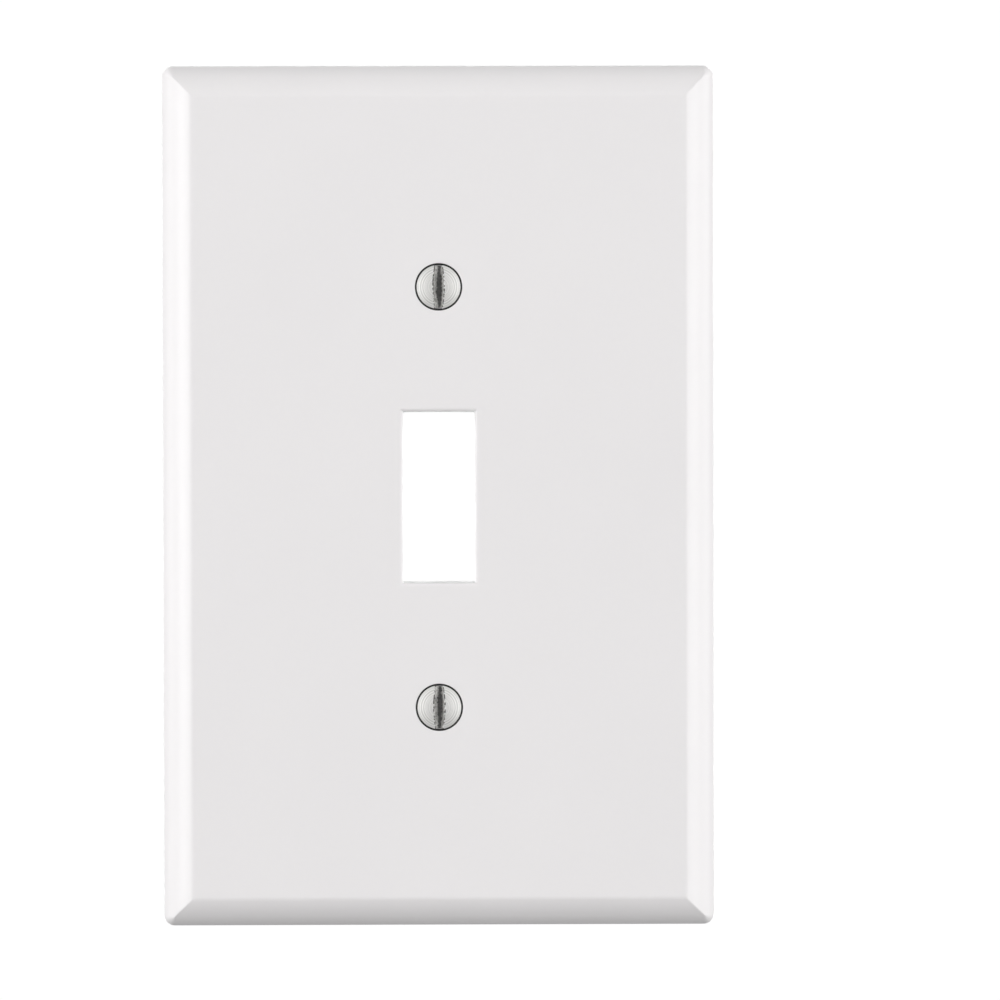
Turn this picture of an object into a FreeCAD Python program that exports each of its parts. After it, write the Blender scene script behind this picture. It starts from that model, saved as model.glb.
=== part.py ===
import FreeCAD, Part
import math
import os

import Sketcher

# One-gang wall plate for a toggle switch, midway size, with its two screws.
#
# Frame: +X to the right, +Z up, and the front faces -Y. The rim of the plate stands on the
# wall plane y = 0, and the origin is the centre of the plate on that plane. Millimetres.
#
# The plate is one moulding, hollow behind. Its edge rises from the wall as a short, slightly
# drafted rim, leans in over a long convex bevel, and turns into the flat face over a small arc.

SIZES = {
    # outline and section of the plate
    "plate_width": 79.375,
    "plate_height": 123.825,
    "plate_depth": 6.5,
    "corner_radius": 1.6,
    "rim_height": 1.9,
    "rim_draft": 0.15,
    "bevel_width": 4.5,
    "bevel_radius": 6.5,
    "brow_radius": 1.2,
    # hollow back
    "face_thickness": 2.0,
    "rim_wall": 1.7,
    "rim_step": 1.5,
    "wall_lean": 35.0,
    "boss_radius": 4.5,
    "boss_height": 1.0,
    "rib_width": 1.0,
    "rib_height": 2.0,
    "upright_rib": 19.0,
    "cross_rib": 17.0,
    "end_rib": 45.0,
    "ejector_radius": 2.5,
    "ejector_depth": 0.15,
    "ejector_across": 28.0,
    "ejector_up": 51.5,
    # toggle opening
    "toggle_width": 10.5,
    "toggle_height": 24.7,
    "toggle_round": 0.5,
    "toggle_draft": 4.0,
    "collar_wall": 1.2,
    "collar_height": 1.0,
    # screw holes
    "screw_spacing": 60.325,
    "hole_diameter": 3.9,
    "sink_diameter": 6.9,
    "sink_angle": 82.0,
    # screws, 6-32 by half an inch
    "screw_length": 12.7,
    "head_radius": 3.15,
    "head_sunk": 0.26,
    "head_land": 0.12,
    "dome_rise": 0.6,
    "neck_radius": 1.5,
    "thread_radius": 1.7526,
    "thread_pitch": 0.79375,
    "thread_depth": 0.43,
    "thread_flat": 0.198,
    "thread_flank": 30.0,
    "thread_start": 3.2,
    "tip_chamfer": 0.5,
    "slot_width": 0.84,
    "slot_depth": 0.85,
    "slot_draft": 24.0,
    "slot_round": 0.08,
    # how far cutting outlines stand out of the solid: most of them, and the thread's
    "overcut": 3.0,
    "thread_overcut": 0.15,
}

# Numbers that a sketch gives to the points of an edge, and to its own X axis, which starts at
# the sketch's origin.
START = 1
END = 2
CENTRE = 3
X_AXIS = -1

# Turns a sketch on the YZ plane so that its first axis is +Z and its second is +Y.
OUTWARD_IS_UP = FreeCAD.Placement(FreeCAD.Vector(), FreeCAD.Rotation(FreeCAD.Vector(1, 1, 0), 180))


def make_sheet(doc):
    """The spreadsheet of driving dimensions, one named cell to a row."""
    sheet = doc.addObject("Spreadsheet::Sheet", "sizes")
    for row, (name, value) in enumerate(SIZES.items(), 1):
        sheet.set(f"A{row}", name)
        sheet.set(f"B{row}", str(value))
        sheet.setAlias(f"B{row}", name)
    doc.recompute()


# --- sketches -------------------------------------------------------------------------------


def origin_plane(body, role):
    """One of the body's own origin planes."""
    return next(item for item in body.Origin.OriginFeatures if item.Role == role)


def new_sketch(body, name, role, lift=None):
    """A sketch on an origin plane, lifted along the plane's normal by a formula."""
    sketch = body.newObject("Sketcher::SketchObject", name)
    sketch.AttachmentSupport = (origin_plane(body, role), [""])
    sketch.MapMode = "FlatFace"
    if lift:
        sketch.setExpression("AttachmentOffset.Base.z", lift)
    return sketch


def measure(sketch, kind, where, formula):
    """A dimension of the sketch that follows a formula. It starts at the drawn value."""
    index = sketch.addConstraint(Sketcher.Constraint(kind, *where))
    sketch.setExpression(f"Constraints[{index}]", formula)


def pin(sketch, edge, point, across=None, up=None):
    """Holds a point of the sketch at formulas across and up from the sketch's origin."""
    drawn = sketch.getPoint(edge, point)
    if across is not None:
        measure(sketch, "DistanceX", (X_AXIS, START, edge, point, drawn.x), across)
    if up is not None:
        measure(sketch, "DistanceY", (X_AXIS, START, edge, point, drawn.y), up)


def add_line(sketch, start, end, construction=False):
    """A straight edge between two drawn points."""
    edge = Part.LineSegment(FreeCAD.Vector(*start), FreeCAD.Vector(*end))
    return sketch.addGeometry(edge, construction)


def add_arc(sketch, centre, radius, start, end, construction=False):
    """An arc, anticlockwise between two directions in degrees."""
    round_edge = Part.Circle(FreeCAD.Vector(*centre), FreeCAD.Vector(0, 0, 1), radius)
    arc = Part.ArcOfCircle(round_edge, math.radians(start), math.radians(end))
    return sketch.addGeometry(arc, construction)


def join(sketch, edge, point, other, other_point):
    """Two points of the sketch made one."""
    sketch.addConstraint(Sketcher.Constraint("Coincident", edge, point, other, other_point))


def chain(sketch, start, corners, end):
    """Straight edges from one point of the sketch, over pinned corners, to another point.

    start and end are pairs of edge and point, and each corner is a pair of formulas.
    """
    drawn = [sketch.getPoint(*start), sketch.getPoint(*end)]
    steps = len(corners) + 1
    spots = [drawn[0] + (drawn[1] - drawn[0]) * (step / steps) for step in range(steps + 1)]
    last = start
    for step in range(steps):
        line = add_line(sketch, spots[step], spots[step + 1])
        join(sketch, *last, line, START)
        last = (line, END)
        if step < len(corners):
            pin(sketch, line, END, *corners[step])
    join(sketch, *last, *end)


def polygon(sketch, corners):
    """A closed outline through corners that are pairs of formulas."""
    first = add_line(sketch, (0, 0, 0), (1, 0, 0))
    pin(sketch, first, START, *corners[0])
    pin(sketch, first, END, *corners[1])
    chain(sketch, (first, END), corners[2:], (first, START))


def rectangle(sketch, left, right, bottom, top):
    """A closed rectangle between four formulas."""
    polygon(sketch, [(left, bottom), (right, bottom), (right, top), (left, top)])


def circle(sketch, radius, across, up):
    """A circle with its radius and the place of its centre as formulas."""
    edge = sketch.addGeometry(Part.Circle(FreeCAD.Vector(0, 0, 0), FreeCAD.Vector(0, 0, 1), 1.0), False)
    pin(sketch, edge, CENTRE, across, up)
    measure(sketch, "Radius", (edge, 1.0), radius)


# --- features -------------------------------------------------------------------------------


def pad(body, sketch, name, length, reverse=False):
    """Material added along the sketch's normal, or against it."""
    feature = body.newObject("PartDesign::Pad", name)
    feature.Profile = sketch
    feature.Reversed = reverse
    feature.setExpression("Length", length)
    return feature


def pocket(body, sketch, name, depth, reverse=False):
    """Material cut away against the sketch's normal, or along it."""
    feature = body.newObject("PartDesign::Pocket", name)
    feature.Profile = sketch
    feature.Reversed = reverse
    feature.setExpression("Length", depth)
    return feature


def cut_through(body, sketch, name):
    """The sketch cut right through the solid, both ways."""
    feature = body.newObject("PartDesign::Pocket", name)
    feature.Profile = sketch
    feature.SideType = "Symmetric"
    feature.Type = "ThroughAll"
    return feature


def mirrored(body, feature, name, role):
    """The feature repeated on the other side of an origin plane."""
    mirror = body.newObject("PartDesign::Mirrored", name)
    mirror.Originals = [feature]
    mirror.MirrorPlane = (origin_plane(body, role), [""])
    body.Tip = mirror
    return mirror


def in_all_quarters(body, feature, name):
    """The feature of one quarter repeated in the other three."""
    repeat = body.newObject("PartDesign::MultiTransform", name)
    mirrors = []
    for suffix, role in (("_across", "YZ_Plane"), ("_up", "XY_Plane")):
        mirror = body.newObject("PartDesign::Mirrored", name + suffix)
        mirror.MirrorPlane = (origin_plane(body, role), [""])
        mirrors.append(mirror)
    repeat.Originals = [feature]
    repeat.Transformations = mirrors
    body.Tip = repeat
    return repeat


def round_edges(body, base, name, radius, chosen):
    """A fillet on those edges of the base feature that the test chosen accepts."""
    edges = [f"Edge{i}" for i, edge in enumerate(base.Shape.Edges, 1) if chosen(edge)]
    feature = body.newObject("PartDesign::Fillet", name)
    feature.Base = (base, edges)
    feature.setExpression("Radius", radius)
    return feature


# --- faceplate ------------------------------------------------------------------------------

FRONT = "sizes.plate_depth"
CEILING = "sizes.plate_depth - sizes.face_thickness"
HALF_SPACING = "sizes.screw_spacing / 2"


def draw_edge_section(sketch, half, drawn_half, construction):
    """The rim, the bevel arc and the small arc into the face, as drawn on one edge.

    The sketch's first axis points outward and its second towards the wall, so heights off
    the wall are negative there. half is a formula for half the plate. Returns the three edges.
    """
    depth = SIZES["plate_depth"]
    radius = SIZES["bevel_radius"]
    brow = SIZES["brow_radius"]
    foot = (drawn_half, 0, 0)
    shoulder = (drawn_half - SIZES["rim_draft"], -SIZES["rim_height"], 0)
    brow_centre = (drawn_half - SIZES["bevel_width"], brow - depth, 0)
    rim = add_line(sketch, foot, shoulder)
    bevel = add_arc(sketch, (drawn_half - radius, 0, 0), radius, -62, -14, construction)
    brow_arc = add_arc(sketch, brow_centre, brow, -90, -62, construction)
    pin(sketch, rim, START, half, "0")
    pin(sketch, rim, END, f"{half} - sizes.rim_draft", "-sizes.rim_height")
    join(sketch, bevel, END, rim, END)
    sketch.addConstraint(Sketcher.Constraint("Tangent", brow_arc, END, bevel, START))
    measure(sketch, "Radius", (bevel, radius), "sizes.bevel_radius")
    measure(sketch, "Radius", (brow_arc, brow), "sizes.brow_radius")
    pin(sketch, brow_arc, START, f"{half} - sizes.bevel_width", f"-{FRONT}")
    pin(sketch, brow_arc, CENTRE, across=f"{half} - sizes.bevel_width")
    return rim, bevel, brow_arc


def bevel_edge(body, name, role, half, drawn_half, opposite):
    """Cuts one straight edge of the plate to its section, and the edge opposite."""
    sketch = new_sketch(body, name + "_section", role)
    if role == "YZ_Plane":
        sketch.AttachmentOffset = OUTWARD_IS_UP
    rim, _, brow_arc = draw_edge_section(sketch, half, drawn_half, construction=False)
    outside = f"{half} + sizes.overcut"
    above = f"-{FRONT} - sizes.overcut"
    corners = [(f"{half} - sizes.bevel_width", above), (outside, above), (outside, "0")]
    chain(sketch, (brow_arc, START), corners, (rim, START))
    cut = cut_through(body, sketch, name + "_cut")
    return mirrored(body, cut, name + "_opposite", opposite)


def round_corners(body):
    """Turns the edge section round the four corners. Inside the corner radius the bevels meet
    in a mitre, so only the section's outer part turns."""
    half = "sizes.plate_width / 2"
    axis = f"{half} - sizes.corner_radius"
    outside = f"{axis} + sizes.corner_radius * 1.5"
    above = f"-{FRONT} - sizes.overcut"
    drawn_half = SIZES["plate_width"] / 2
    radius = SIZES["bevel_radius"]
    drawn_axis = drawn_half - SIZES["corner_radius"]

    sketch = new_sketch(body, "corner_section", "XY_Plane", "sizes.plate_height / 2 - sizes.corner_radius")
    rim, bevel, _ = draw_edge_section(sketch, half, drawn_half, construction=True)
    outer = add_arc(sketch, (drawn_half - radius, 0, 0), radius, -35, -14)
    join(sketch, outer, CENTRE, bevel, CENTRE)
    join(sketch, outer, END, rim, END)
    pin(sketch, outer, START, across=axis)
    spindle = add_line(sketch, (drawn_axis, 0, 0), (drawn_axis, -1, 0), construction=True)
    pin(sketch, spindle, START, axis, "0")
    pin(sketch, spindle, END, axis, f"-{FRONT}")
    chain(sketch, (outer, START), [(axis, above), (outside, above), (outside, "0")], (rim, START))

    groove = body.newObject("PartDesign::Groove", "corner_turn")
    groove.Profile = sketch
    groove.ReferenceAxis = (sketch, ["Axis0"])
    groove.Angle = 90
    return in_all_quarters(body, groove, "corner_turns")


def hollow_back(body):
    """The hollow behind the face: a straight step inside the rim, then walls that lean in."""
    half_width = "sizes.plate_width / 2 - sizes.rim_wall"
    half_height = "sizes.plate_height / 2 - sizes.rim_wall"
    limits = (f"-({half_width})", half_width, f"-({half_height})", half_height)

    step = new_sketch(body, "rim_step_outline", "XZ_Plane")
    rectangle(step, *limits)
    pocket(body, step, "rim_step_cut", "sizes.rim_step", reverse=True)

    hollow = new_sketch(body, "hollow_outline", "XZ_Plane", "sizes.rim_step")
    rectangle(hollow, *limits)
    cut = pocket(body, hollow, "hollow_cut", f"{CEILING} - sizes.rim_step", reverse=True)
    cut.setExpression("TaperAngle", "-sizes.wall_lean")


def raise_from_ceiling(body, name, height, draw):
    """Adds what draw puts in a sketch on the hollow's ceiling, up to a height off it."""
    sketch = new_sketch(body, name + "_outline", "XZ_Plane", CEILING)
    draw(sketch)
    pad(body, sketch, name, height, reverse=True)


def draw_bosses(sketch):
    """A round boss behind each screw hole."""
    for sign in ("", "-"):
        circle(sketch, "sizes.boss_radius", "0", f"{sign}{HALF_SPACING}")


def draw_collar(sketch):
    """A block that the toggle opening later turns into a collar."""
    across = "sizes.toggle_width / 2 + sizes.collar_wall"
    up = "sizes.toggle_height / 2 + sizes.collar_wall"
    rectangle(sketch, f"-({across})", across, f"-({up})", up)


def draw_upright_ribs(sketch):
    """Two ribs that run up the plate between its end walls."""
    top = "sizes.plate_height / 2 - sizes.rim_wall"
    for sign in ("", "-"):
        middle = f"{sign}sizes.upright_rib"
        left = f"{middle} - sizes.rib_width / 2"
        right = f"{middle} + sizes.rib_width / 2"
        rectangle(sketch, left, right, f"-({top})", top)


def draw_cross_ribs(sketch):
    """Ribs across the plate between its side walls."""
    side = "sizes.plate_width / 2 - sizes.rim_wall"
    for level in ("sizes.cross_rib", "sizes.end_rib"):
        for sign in ("", "-"):
            middle = f"{sign}{level}"
            bottom = f"{middle} - sizes.rib_width / 2"
            top = f"{middle} + sizes.rib_width / 2"
            rectangle(sketch, f"-({side})", side, bottom, top)


def mark_ejectors(body):
    """Shallow round marks where the mould's ejector pins pushed."""
    sketch = new_sketch(body, "ejector_outline", "XZ_Plane", CEILING)
    circle(sketch, "sizes.ejector_radius", "sizes.ejector_across", "sizes.ejector_up")
    cut = pocket(body, sketch, "ejector_mark", "sizes.ejector_depth", reverse=True)
    in_all_quarters(body, cut, "ejector_marks")


def open_toggle_slot(body):
    """The toggle opening, a little narrower behind, with its front edge rounded over."""
    sketch = new_sketch(body, "toggle_outline", "XZ_Plane", FRONT)
    across = "sizes.toggle_width / 2"
    up = "sizes.toggle_height / 2"
    rectangle(sketch, f"-{across}", across, f"-{up}", up)
    depth = "sizes.face_thickness + sizes.collar_height + sizes.overcut"
    opening = pocket(body, sketch, "toggle_opening", depth)
    opening.setExpression("TaperAngle", "-sizes.toggle_draft")
    body.Document.recompute()
    reach = SIZES["toggle_height"] / 2 + 0.1

    def on_front_edge(edge):
        limits = edge.BoundBox
        in_front = limits.YMax < 0.01 - SIZES["plate_depth"]
        return in_front and max(abs(limits.ZMax), abs(limits.ZMin), abs(limits.XMax)) < reach

    round_edges(body, opening, "toggle_edge", "sizes.toggle_round", on_front_edge)


def sink_screw_holes(body):
    """Two countersunk clearance holes, drilled from the front."""
    sketch = new_sketch(body, "screw_hole_centres", "XZ_Plane", FRONT)
    for sign in ("", "-"):
        circle(sketch, "sizes.hole_diameter / 2", "0", f"{sign}{HALF_SPACING}")
    body.Document.recompute()
    hole = body.newObject("PartDesign::Hole", "screw_holes")
    hole.Profile = sketch
    body.Document.recompute()
    hole.DepthType = "ThroughAll"
    hole.setExpression("Diameter", "sizes.hole_diameter")
    hole.HoleCutType = "Countersink"
    hole.HoleCutCustomValues = True
    hole.setExpression("HoleCutDiameter", "sizes.sink_diameter")
    hole.setExpression("HoleCutCountersinkAngle", "sizes.sink_angle")


def make_faceplate(doc):
    """The moulded plate, cut from a block and hollowed from behind."""
    body = doc.addObject("PartDesign::Body", "faceplate")
    half_width = "sizes.plate_width / 2"
    half_height = "sizes.plate_height / 2"
    outline = new_sketch(body, "plate_outline", "XZ_Plane")
    rectangle(outline, f"-{half_width}", half_width, f"-{half_height}", half_height)
    pad(body, outline, "plate_block", FRONT)
    bevel_edge(body, "side", "XY_Plane", half_width, SIZES["plate_width"] / 2, "YZ_Plane")
    bevel_edge(body, "end", "YZ_Plane", half_height, SIZES["plate_height"] / 2, "XY_Plane")
    round_corners(body)
    hollow_back(body)
    raise_from_ceiling(body, "bosses", "sizes.boss_height", draw_bosses)
    raise_from_ceiling(body, "collar", "sizes.collar_height", draw_collar)
    raise_from_ceiling(body, "upright_ribs", "sizes.rib_height", draw_upright_ribs)
    raise_from_ceiling(body, "cross_ribs", "sizes.rib_height", draw_cross_ribs)
    mark_ejectors(body)
    open_toggle_slot(body)
    sink_screw_holes(body)
    return body


# --- screws ---------------------------------------------------------------------------------

HEAD_EDGE = "(sizes.head_sunk - sizes.plate_depth)"
DOME_TOP = f"({HEAD_EDGE} - sizes.head_land - sizes.dome_rise)"
TIP = f"({HEAD_EDGE} + sizes.screw_length)"
THREAD_START = "-sizes.thread_start"


def turn_blank(body):
    """The screw before its thread and slot: tip, shank, neck, cone and low domed head."""
    sketch = new_sketch(body, "blank_section", "XY_Plane")
    drawn_edge = SIZES["head_sunk"] - SIZES["head_land"] - SIZES["plate_depth"]
    rise = SIZES["dome_rise"]
    dome_radius = (SIZES["head_radius"] ** 2 + rise**2) / (2 * rise)
    dome = add_arc(sketch, (0, drawn_edge - rise + dome_radius, 0), dome_radius, -90, -68)
    pin(sketch, dome, START, "0", DOME_TOP)
    pin(sketch, dome, END, "sizes.head_radius", f"{HEAD_EDGE} - sizes.head_land")
    pin(sketch, dome, CENTRE, across="0")

    cone = "(sizes.head_radius - sizes.neck_radius) / tan(sizes.sink_angle / 2)"
    runout = "sizes.thread_radius - sizes.neck_radius"
    corners = [
        ("sizes.head_radius", HEAD_EDGE),
        ("sizes.neck_radius", f"{HEAD_EDGE} + {cone}"),
        ("sizes.neck_radius", f"{THREAD_START} - ({runout})"),
        ("sizes.thread_radius", THREAD_START),
        ("sizes.thread_radius", f"{TIP} - sizes.tip_chamfer"),
        ("sizes.thread_radius - sizes.tip_chamfer", TIP),
        ("0", TIP),
    ]
    chain(sketch, (dome, END), corners, (dome, START))
    blank = body.newObject("PartDesign::Revolution", "blank")
    blank.Profile = sketch
    blank.ReferenceAxis = (sketch, ["V_Axis"])
    blank.Angle = 360
    return blank


def cut_thread(body):
    """A right-hand vee thread from behind the neck to past the tip."""
    sketch = new_sketch(body, "thread_section", "XY_Plane")
    middle = f"({THREAD_START} - sizes.thread_pitch / 2)"
    root = "sizes.thread_radius - sizes.thread_depth"
    crest = "sizes.thread_radius + sizes.thread_overcut"
    root_half = "sizes.thread_flat / 2"
    crest_half = f"({root_half} + ({crest} - ({root})) * tan(sizes.thread_flank))"
    corners = [
        (root, f"{middle} - {root_half}"),
        (crest, f"{middle} - {crest_half}"),
        (crest, f"{middle} + {crest_half}"),
        (root, f"{middle} + {root_half}"),
    ]
    polygon(sketch, corners)
    thread = body.newObject("PartDesign::SubtractiveHelix", "thread")
    thread.Profile = sketch
    thread.ReferenceAxis = (sketch, ["V_Axis"])
    thread.Mode = "pitch-height-angle"
    thread.LeftHanded = False
    thread.setExpression("Pitch", "sizes.thread_pitch")
    thread.setExpression("Height", f"{TIP} - {middle} + sizes.thread_pitch")
    return thread


def cut_slot(body):
    """The driver slot across the head, upright, with leaning sides and its top edges eased."""
    sketch = new_sketch(body, "slot_section", "XY_Plane")
    half = "sizes.slot_width / 2"
    floor = f"({DOME_TOP} + sizes.slot_depth)"
    above = f"({DOME_TOP} - sizes.overcut)"
    wide = f"({half} + ({floor} - {above}) * tan(sizes.slot_draft))"
    polygon(sketch, [(f"-{half}", floor), (half, floor), (wide, above), (f"-{wide}", above)])
    slot = cut_through(body, sketch, "slot")
    body.Document.recompute()
    floor_half = SIZES["slot_width"] / 2
    land_top = SIZES["head_sunk"] - SIZES["head_land"] - SIZES["plate_depth"]

    def on_dome_edge(edge):
        """The slot's top edges on the dome, in one run or two. They stand wider than its floor."""
        limits = edge.BoundBox
        outside_floor = min(abs(limits.XMin), abs(limits.XMax)) > floor_half + 0.01
        above_land = limits.YMin < land_top - 0.1 and limits.YMax < land_top + 0.01
        return outside_floor and above_land and limits.ZLength > 0.8 * SIZES["head_radius"]

    round_edges(body, slot, "slot_edges", "sizes.slot_round", on_dome_edge)


def make_screw(doc, name, height):
    """One screw, made about its own axis and placed in its hole."""
    body = doc.addObject("PartDesign::Body", name)
    turn_blank(body)
    cut_thread(body)
    cut_slot(body)
    body.setExpression("Placement.Base.z", height)
    return body


# --- checks and output ----------------------------------------------------------------------

ADDING = ("PartDesign::Pad", "PartDesign::Revolution")


def check_objects(doc):
    """Stops if any object of the document failed or any sketch is loose."""
    for thing in doc.Objects:
        if {"Invalid", "Error"} & set(thing.State):
            raise RuntimeError(f"{thing.Name} failed: {thing.State}")
        if thing.TypeId == "Sketcher::SketchObject" and not thing.FullyConstrained:
            raise RuntimeError(f"{thing.Name} isn't fully constrained")


def check_body(body):
    """Stops if a feature did nothing, or if the body isn't one sound solid."""
    volume = 0.0
    for feature in body.Group:
        shape = getattr(feature, "Shape", None)
        if not feature.isDerivedFrom("PartDesign::Feature") or shape.isNull():
            continue
        change = shape.Volume - volume
        if (change > 0) != (feature.TypeId in ADDING) or abs(change) < 1e-4:
            raise RuntimeError(f"{feature.Name} changed the volume by {change:.4f} mm3")
        volume = shape.Volume
    if body.Shape.isNull() or not body.Shape.isValid() or len(body.Shape.Solids) != 1:
        raise RuntimeError(f"{body.Label} isn't one valid solid")


def main():
    doc = FreeCAD.newDocument("wall_plate_cover")
    make_sheet(doc)
    bodies = [
        make_faceplate(doc),
        make_screw(doc, "upper_screw", HALF_SPACING),
        make_screw(doc, "lower_screw", f"-{HALF_SPACING}"),
    ]
    doc.recompute()
    check_objects(doc)
    os.makedirs("parts", exist_ok=True)
    for body in bodies:
        check_body(body)
        body.Shape.exportStep(f"parts/{body.Label}.step")
        print(f"{body.Label}: {body.Shape.Volume:.1f} mm3")


main()
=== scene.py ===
import math

import bpy
from mathutils import Matrix, Vector

# One-gang toggle wall plate with two slotted screws, in the CAD row frame: +X right, +Z up, the
# front faces -Y and the wall plane is y = 0. Metres throughout.

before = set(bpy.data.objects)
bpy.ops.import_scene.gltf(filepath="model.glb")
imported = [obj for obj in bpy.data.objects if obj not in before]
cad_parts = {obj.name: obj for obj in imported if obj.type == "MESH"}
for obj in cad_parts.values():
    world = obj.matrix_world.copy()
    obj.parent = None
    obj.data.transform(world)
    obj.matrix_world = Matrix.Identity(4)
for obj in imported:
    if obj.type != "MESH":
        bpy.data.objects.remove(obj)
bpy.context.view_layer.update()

MM = 0.001

# The plate.
FACE_Y = -6.5 * MM            # the flat face
SINK_RADIUS = 3.45 * MM       # of the countersink where it meets the face
OPENING_HALF_WIDTH = 5.25 * MM
OPENING_HALF_HEIGHT = 12.35 * MM
EDGE_SOFTENING = 0.30 * MM    # of the shading across sharp edges
SEAT_SHADE_DEPTH = 0.46 * MM       # of the painted shade in each countersink, below the face

# The screws. Each head's dome is part of a sphere, cut across by its slot.
SCREW_HEIGHT = 30.1625 * MM   # of each screw's axis above or below the plate's middle
SLOT_FLOOR_Y = -6.11 * MM
SLOT_FLOOR_HALF = 0.42 * MM   # half the width of the slot's floor
SLOT_LEAN = math.tan(math.radians(24))  # of each side of the slot, outward as it rises
DOME_RADIUS = 8.569 * MM
DOME_CENTRE_Y = 1.609 * MM
SLOT_SHADE_SHIFT = 0.08 * MM       # of the painted shade on the slot's floor, to the right
SLOT_SHADE_HALF = 0.20 * MM        # half the painted shade's width at the slot's ends
SLOT_SHADE_BULGE = 0.16 * MM       # added to that in the middle of the slot
BURR_SHADE_HALF = 0.06 * MM         # half the width of the burr's dark line of painted shade at the slot's ends
BURR_SHADE_BULGE = 0.05 * MM        # added to that in the middle of the slot

# Colours, linear.
PLASTIC_LIGHT = (0.915, 0.896, 0.899, 1)
PLASTIC_DARK = (0.882, 0.864, 0.869, 1)
PLASTIC_GRAIN = (0.849, 0.833, 0.838, 1)
# Painted shade in the countersinks, next to the screw heads.
SEAT_SHADE = (0.012, 0.012, 0.012, 1)
# Painted shade at the upper and lower ends of the toggle opening.
UPPER_END_SHADE = (0.40, 0.396, 0.396, 1)
LOWER_END_SHADE = (0.50, 0.495, 0.495, 1)
STEEL_BRIGHT = (0.94, 0.935, 0.92, 1)
STEEL_STAINED = (0.84, 0.835, 0.815, 1)
STEEL_RIPPLE = (0.60, 0.595, 0.58, 1)
# Painted shade on the walls and floor of each screw slot.
SLOT_WALL_SHADE_PALE = (0.78, 0.775, 0.76, 1)
SLOT_WALL_SHADE_DEEP = (0.45, 0.445, 0.43, 1)
SLOT_FLOOR_SHADE_DEEP = (0.06, 0.06, 0.058, 1)
SLOT_FLOOR_SHADE_PALE = (0.20, 0.20, 0.195, 1)
# A dark line of painted shade along the burr at the slot's top edge.
BURR_SHADE = (0.06, 0.06, 0.058, 1)


# --- node helpers ---------------------------------------------------------------------------


def new_material(name):
    """An empty node material with its Principled shader: (material, node tree, shader)."""
    material = bpy.data.materials.new(name)
    material.use_nodes = True
    tree = material.node_tree
    return material, tree, tree.nodes["Principled BSDF"]


def add(tree, kind, settings=None, **inputs):
    """A node of a kind, with its settings and its inputs: a socket is linked, a value is set.

    An input name has underscores for spaces, and in_N stands for the input at place N.
    """
    made = tree.nodes.new(kind)
    for name, value in (settings or {}).items():
        setattr(made, name, value)
    for name, value in inputs.items():
        plain = name.replace("_", " ")
        socket = made.inputs[int(name[3:])] if name.startswith("in_") else made.inputs[plain]
        if isinstance(value, bpy.types.NodeSocket):
            tree.links.new(value, socket)
        else:
            socket.default_value = value
    return made


def math_node(tree, operation, *values):
    """The result of a Math node."""
    inputs = {f"in_{place}": value for place, value in enumerate(values)}
    return add(tree, "ShaderNodeMath", {"operation": operation}, **inputs).outputs[0]


def fade(tree, value, low, high):
    """0 where the value is below low, 1 above high, and smooth between. low may exceed high."""
    made = add(tree, "ShaderNodeMapRange", {"interpolation_type": "SMOOTHSTEP"},
               Value=value, From_Min=low, From_Max=high)
    return made.outputs["Result"]


def spread(tree, value, low, high):
    """A 0 to 1 value taken to the range low to high."""
    return add(tree, "ShaderNodeMapRange", None, Value=value, To_Min=low, To_Max=high).outputs["Result"]


def noise(tree, place, scale, detail=2.0, roughness=0.5):
    """Noise of a scale per metre, 0 to 1."""
    made = add(tree, "ShaderNodeTexNoise", None, Vector=place, Scale=scale, Detail=detail,
               Roughness=roughness)
    return made.outputs["Fac"]


def blend(tree, share, first, second):
    """A mix of two colours."""
    made = tree.nodes.new("ShaderNodeMix")
    made.data_type = "RGBA"
    for socket, value in ((made.inputs[0], share), (made.inputs[6], first), (made.inputs[7], second)):
        if isinstance(value, bpy.types.NodeSocket):
            tree.links.new(value, socket)
        else:
            socket.default_value = value
    return made.outputs[2]


def place_on_piece(tree):
    """The point on the piece in the row frame at rest, and its three parts."""
    place = add(tree, "ShaderNodeTexCoord").outputs["Object"]
    parts = add(tree, "ShaderNodeSeparateXYZ", None, Vector=place).outputs
    return place, parts["X"], parts["Y"], parts["Z"]


def from_axis(tree, x, z, height=None):
    """The distance of a point from the axis of the screw at a height, or of the nearer screw."""
    if height is None:
        up = math_node(tree, "SUBTRACT", math_node(tree, "ABSOLUTE", z), SCREW_HEIGHT)
    else:
        up = math_node(tree, "SUBTRACT", z, height)
    square = math_node(tree, "ADD", math_node(tree, "MULTIPLY", x, x), math_node(tree, "MULTIPLY", up, up))
    return math_node(tree, "SQRT", square)


# --- materials ------------------------------------------------------------------------------


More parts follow.
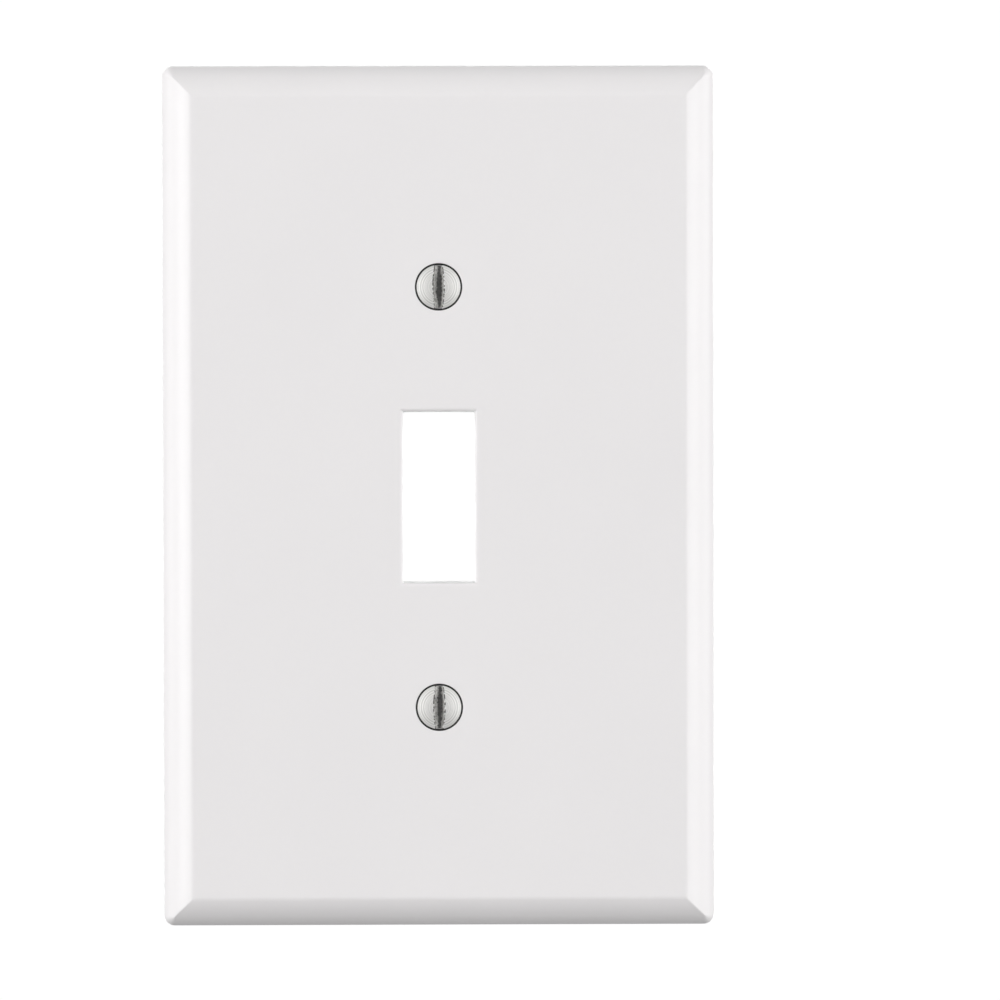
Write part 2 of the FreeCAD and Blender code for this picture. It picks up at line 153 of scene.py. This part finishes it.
def white_plastic():
    """Semi-gloss moulded plastic, faintly mottled, with painted shade in the seats of the screws and
    at the ends of the toggle opening."""
    material, tree, shader = new_material("white_plastic")
    place, x, y, z = place_on_piece(tree)

    clouds = noise(tree, place, 45.0, 3.0)
    grain = noise(tree, place, 1400.0, 2.0)
    body = blend(tree, clouds, PLASTIC_LIGHT, PLASTIC_DARK)
    body = blend(tree, spread(tree, grain, 0.0, 0.25), body, PLASTIC_GRAIN)

    # Painted shade: the outer part of each countersink, darkened next to the head.
    near_axis = fade(tree, from_axis(tree, x, z), SINK_RADIUS - 0.03 * MM, SINK_RADIUS - 0.07 * MM)
    below_face = fade(tree, y, FACE_Y + 0.004 * MM, FACE_Y + 0.02 * MM)
    before_back = fade(tree, y, FACE_Y + SEAT_SHADE_DEPTH, FACE_Y + SEAT_SHADE_DEPTH - 0.12 * MM)
    seat_shade = math_node(tree, "MULTIPLY", near_axis, math_node(tree, "MULTIPLY", below_face, before_back))
    body = blend(tree, seat_shade, body, SEAT_SHADE)

    # Painted shade on the walls at the ends of the toggle opening, the upper one darker than the lower.
    level = math_node(tree, "SUBTRACT", math_node(tree, "ABSOLUTE", z), OPENING_HALF_HEIGHT)
    at_end = math_node(tree, "MULTIPLY", fade(tree, level, -0.35 * MM, -0.27 * MM),
                       fade(tree, level, 0.25 * MM, 0.15 * MM))
    across = math_node(tree, "SUBTRACT", math_node(tree, "ABSOLUTE", x), OPENING_HALF_WIDTH)
    between_sides = fade(tree, across, -0.09 * MM, -0.19 * MM)
    past_rounding = fade(tree, y, FACE_Y + 0.25 * MM, FACE_Y + 0.50 * MM)
    shade = math_node(tree, "MULTIPLY", at_end, math_node(tree, "MULTIPLY", between_sides, past_rounding))
    end_shade = blend(tree, fade(tree, z, -MM, MM), LOWER_END_SHADE, UPPER_END_SHADE)
    tree.links.new(blend(tree, shade, body, end_shade), shader.inputs["Base Color"])

    patches = noise(tree, place, 160.0, 2.0)
    tree.links.new(spread(tree, patches, 0.26, 0.40), shader.inputs["Roughness"])

    peel = noise(tree, place, 520.0, 2.0)
    height = math_node(tree, "ADD", math_node(tree, "MULTIPLY", peel, 0.8),
                       math_node(tree, "MULTIPLY", grain, 0.2))
    # Softens the shading across the mitres and edges that are sharp in the mesh.
    softened = add(tree, "ShaderNodeBevel", {"samples": 8}, Radius=EDGE_SOFTENING)
    bump = add(tree, "ShaderNodeBump", None, Strength=0.10, Distance=0.05 * MM, Height=height,
               Normal=softened.outputs["Normal"])
    tree.links.new(bump.outputs["Normal"], shader.inputs["Normal"])
    shader.inputs["IOR"].default_value = 1.5
    return material


def screw_steel(name, height):
    """Bare steel with the marks of turning round its axis, and painted shade in the slot."""
    material, tree, shader = new_material(name)
    place, x, y, z = place_on_piece(tree)
    radius = from_axis(tree, x, z, height)

    blotches = noise(tree, place, 900.0, 3.0)
    fine = noise(tree, place, 6000.0, 2.0)
    rings = add(tree, "ShaderNodeTexNoise", {"noise_dimensions": "1D"}, W=radius, Scale=6000.0,
                Detail=2.0, Roughness=0.6).outputs["Fac"]
    ripple = fade(tree, rings, 0.35, 0.65)
    metal = blend(tree, blotches, STEEL_BRIGHT, STEEL_STAINED)
    metal = blend(tree, spread(tree, ripple, 0.0, 0.75), metal, STEEL_RIPPLE)

    # How far the slot's leaning side has come out at this depth, and how deep this point lies
    # under the dome.
    depth = math_node(tree, "SUBTRACT", SLOT_FLOOR_Y, y)
    across = math_node(tree, "ABSOLUTE", x)
    side = math_node(tree, "MULTIPLY_ADD", depth, SLOT_LEAN, SLOT_FLOOR_HALF)
    drop = math_node(tree, "SUBTRACT", y, DOME_CENTRE_Y)
    reach = math_node(tree, "SQRT", math_node(tree, "MULTIPLY_ADD", drop, drop,
                                              math_node(tree, "MULTIPLY", radius, radius)))
    under_dome = math_node(tree, "SUBTRACT", DOME_RADIUS, reach)
    head_only = fade(tree, y, SLOT_FLOOR_Y + 0.2 * MM, SLOT_FLOOR_Y + 0.1 * MM)
    in_slot = math_node(tree, "MULTIPLY", fade(tree, under_dome, 0.03 * MM, 0.08 * MM), head_only)

    # Painted shade on the slot's floor, wider in the middle of the slot and a little to the right, and
    # speckled painted shade on its walls.
    specks = noise(tree, place, 3000.0, 2.0)
    drift = math_node(tree, "MULTIPLY", math_node(tree, "SUBTRACT", blotches, 0.5), 0.25 * MM)
    waver = math_node(tree, "MULTIPLY_ADD", math_node(tree, "SUBTRACT", specks, 0.5), 0.7 * MM, drift)
    middle = fade(tree, radius, 2.8 * MM, 1.0 * MM)
    half_shade = math_node(tree, "MULTIPLY_ADD", middle, SLOT_SHADE_BULGE, SLOT_SHADE_HALF)
    off_shade = math_node(tree, "ABSOLUTE", math_node(tree, "SUBTRACT", x, SLOT_SHADE_SHIFT))
    past_shade = math_node(tree, "SUBTRACT", math_node(tree, "ADD", off_shade, waver), half_shade)
    floor_shade = fade(tree, past_shade, 0.12 * MM, -0.10 * MM)
    wall_shade = blend(tree, fade(tree, specks, 0.40, 0.62), SLOT_WALL_SHADE_PALE, SLOT_WALL_SHADE_DEEP)
    floor = blend(tree, specks, SLOT_FLOOR_SHADE_DEEP, SLOT_FLOOR_SHADE_PALE)
    slot_shade = blend(tree, floor_shade, wall_shade, floor)
    colour = blend(tree, in_slot, metal, slot_shade)

    # The burr along the slot's top edge, drawn as a dark line of painted shade, broken and wider in the
    # middle of the head.
    off_edge = math_node(tree, "ABSOLUTE", math_node(tree, "SUBTRACT", across, side))
    half_burr_shade = math_node(tree, "MULTIPLY_ADD", middle, BURR_SHADE_BULGE, BURR_SHADE_HALF)
    burr_shade = fade(tree, math_node(tree, "SUBTRACT", off_edge, half_burr_shade), 0.05 * MM, -0.03 * MM)
    broken = fade(tree, specks, 0.44, 0.52)
    at_top = fade(tree, under_dome, 0.14 * MM, 0.08 * MM)
    for share in (broken, at_top, head_only):
        burr_shade = math_node(tree, "MULTIPLY", burr_shade, share)
    tree.links.new(blend(tree, burr_shade, colour, BURR_SHADE), shader.inputs["Base Color"])

    dull_slot = math_node(tree, "MULTIPLY", in_slot, 0.65)
    worn = math_node(tree, "MAXIMUM", spread(tree, fine, 0.54, 0.70), dull_slot)
    tree.links.new(worn, shader.inputs["Roughness"])

    height_map = math_node(tree, "ADD", math_node(tree, "MULTIPLY", rings, 0.8),
                           math_node(tree, "MULTIPLY", fine, 0.2))
    bump = add(tree, "ShaderNodeBump", None, Strength=0.6, Distance=0.03 * MM, Height=height_map)
    tree.links.new(bump.outputs["Normal"], shader.inputs["Normal"])
    shader.inputs["Metallic"].default_value = 0.9
    return material


def dress(node, material):
    """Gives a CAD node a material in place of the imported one."""
    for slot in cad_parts[node].material_slots:
        slot.material = material


dress("faceplate", white_plastic())
dress("upper_screw", screw_steel("screw_steel_upper", SCREW_HEIGHT))
dress("lower_screw", screw_steel("screw_steel_lower", -SCREW_HEIGHT))


# --- studio ---------------------------------------------------------------------------------

scene = bpy.context.scene
scene.view_settings.view_transform = "Standard"
scene.view_settings.look = "None"

FLOOR_DROP = 1.7              # the floor is this far below the plate's middle
FLOOR_SIZE = 16.0


def pale_floor():
    """A wide plain floor well below the plate. It shows to the camera but lights nothing."""
    bpy.ops.mesh.primitive_plane_add(size=FLOOR_SIZE, location=(0, 0, -FLOOR_DROP))
    floor = bpy.context.object
    floor.name = "floor"
    material, tree, shader = new_material("pale_floor")
    shader.inputs["Base Color"].default_value = (0.9, 0.9, 0.9, 1)
    shader.inputs["Roughness"].default_value = 0.9
    shader.inputs["Emission Color"].default_value = (1, 1, 1, 1)
    shader.inputs["Emission Strength"].default_value = 0.9
    floor.data.materials.append(material)
    floor.visible_diffuse = False
    floor.visible_glossy = False


def soft_light(name, azimuth, elevation, power, distance=0.9, width=0.4, height=0.6):
    """An area light facing the plate. Azimuth 0 is in front of it, and 90 to its right."""
    lamp = bpy.data.lights.new(name, "AREA")
    lamp.shape = "RECTANGLE"
    lamp.size = width
    lamp.size_y = height
    lamp.energy = power
    holder = bpy.data.objects.new(name, lamp)
    scene.collection.objects.link(holder)
    turn, lift = math.radians(azimuth), math.radians(elevation)
    away = Vector((math.sin(turn) * math.cos(lift), -math.cos(turn) * math.cos(lift), math.sin(lift)))
    holder.location = away * distance
    holder.rotation_euler = away.to_track_quat("Z", "Y").to_euler()
    holder.visible_camera = False


def white_world(low, high):
    """White behind everything. Its own light on the object is weaker, and rises from low to high."""
    world = bpy.data.worlds.new("studio_white")
    scene.world = world
    world.use_nodes = True
    tree = world.node_tree
    tree.nodes.clear()
    seen = add(tree, "ShaderNodeBackground", None, Color=(1, 1, 1, 1), Strength=1.02)
    way = add(tree, "ShaderNodeTexCoord").outputs["Generated"]
    up = add(tree, "ShaderNodeSeparateXYZ", None, Vector=way).outputs["Z"]
    fill = add(tree, "ShaderNodeMapRange", None, Value=up, From_Min=-1.0, To_Min=low, To_Max=high)
    ambient = add(tree, "ShaderNodeBackground", None, Color=(1, 1, 1, 1), Strength=fill.outputs["Result"])
    rays = add(tree, "ShaderNodeLightPath")
    mix = add(tree, "ShaderNodeMixShader", None, in_0=rays.outputs["Is Camera Ray"],
              in_1=ambient.outputs[0], in_2=seen.outputs[0])
    out = tree.nodes.new("ShaderNodeOutputWorld")
    tree.links.new(mix.outputs[0], out.inputs["Surface"])


def photo_camera():
    """The camera, 1.3 m in front of the plate and a little left and above, as fitted to the photo."""
    distance = 1.3
    left = 16.4 * MM
    above = 41.4 * MM
    lens = bpy.data.cameras.new("camera")
    lens.sensor_width = 36.0
    lens.lens = 324.9
    lens.clip_start = 0.05
    lens.clip_end = 40.0
    camera = bpy.data.objects.new("camera", lens)
    scene.collection.objects.link(camera)
    yaw = Matrix.Rotation(math.radians(-1.114), 4, "Z")
    pitch = Matrix.Rotation(math.radians(-1.851), 4, "X")
    roll = Matrix.Rotation(math.radians(0.102), 4, "Y")
    level = Matrix.Rotation(math.radians(90), 4, "X")
    place = Matrix.Translation((-left, -distance, above))
    camera.matrix_world = place @ yaw @ pitch @ roll @ level
    scene.camera = camera


pale_floor()
white_world(0.318, 0.618)
soft_light("left_box", -70, 6, 3.15)
soft_light("right_box", 70, 6, 2.50)
soft_light("left_edge_box", -105, 10, 0.75)
soft_light("right_edge_box", 105, 10, 0.95)
soft_light("left_front_box", -50, 0, 1.30)
soft_light("right_front_box", 50, 0, 1.50)
soft_light("front_box", 0, 30, 0.05, distance=0.35, width=0.5, height=0.2)
soft_light("back_box", 180, 0, 3.0, distance=1.2, width=0.5, height=0.5)
photo_camera()
